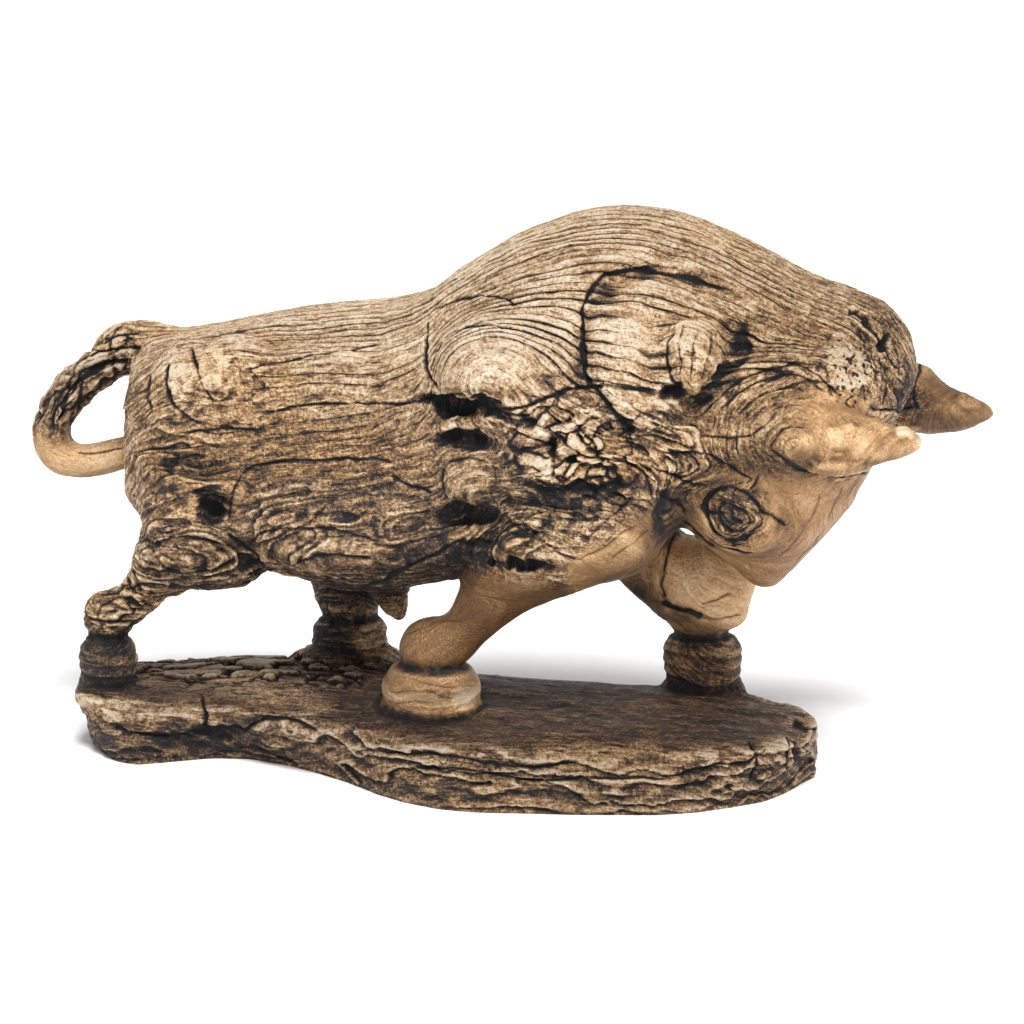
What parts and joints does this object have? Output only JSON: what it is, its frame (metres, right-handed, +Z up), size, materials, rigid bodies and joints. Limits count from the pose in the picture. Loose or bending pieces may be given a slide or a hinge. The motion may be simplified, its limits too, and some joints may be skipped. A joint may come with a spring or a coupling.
{
  "type": "bull statuette",
  "caption": "Charging bull statuette in the style of weathered timber, cast in one with its log plinth, bronze painted over black.",
  "frame": {"origin": "on the plinth's flat underside, below the middle of the whole work's box", "axes": "+X the way the bull charges, +Y towards its far side (its left), +Z up"},
  "size_m": [0.344, 0.1064, 0.2038],
  "materials": {
    "bronze_paint": "bronze paint rubbed over a black ground on a cast body, low sheen"
  },
  "bodies": {
    "root": {"bull_statuette": "bronze_paint"}
  },
  "joints": []
}
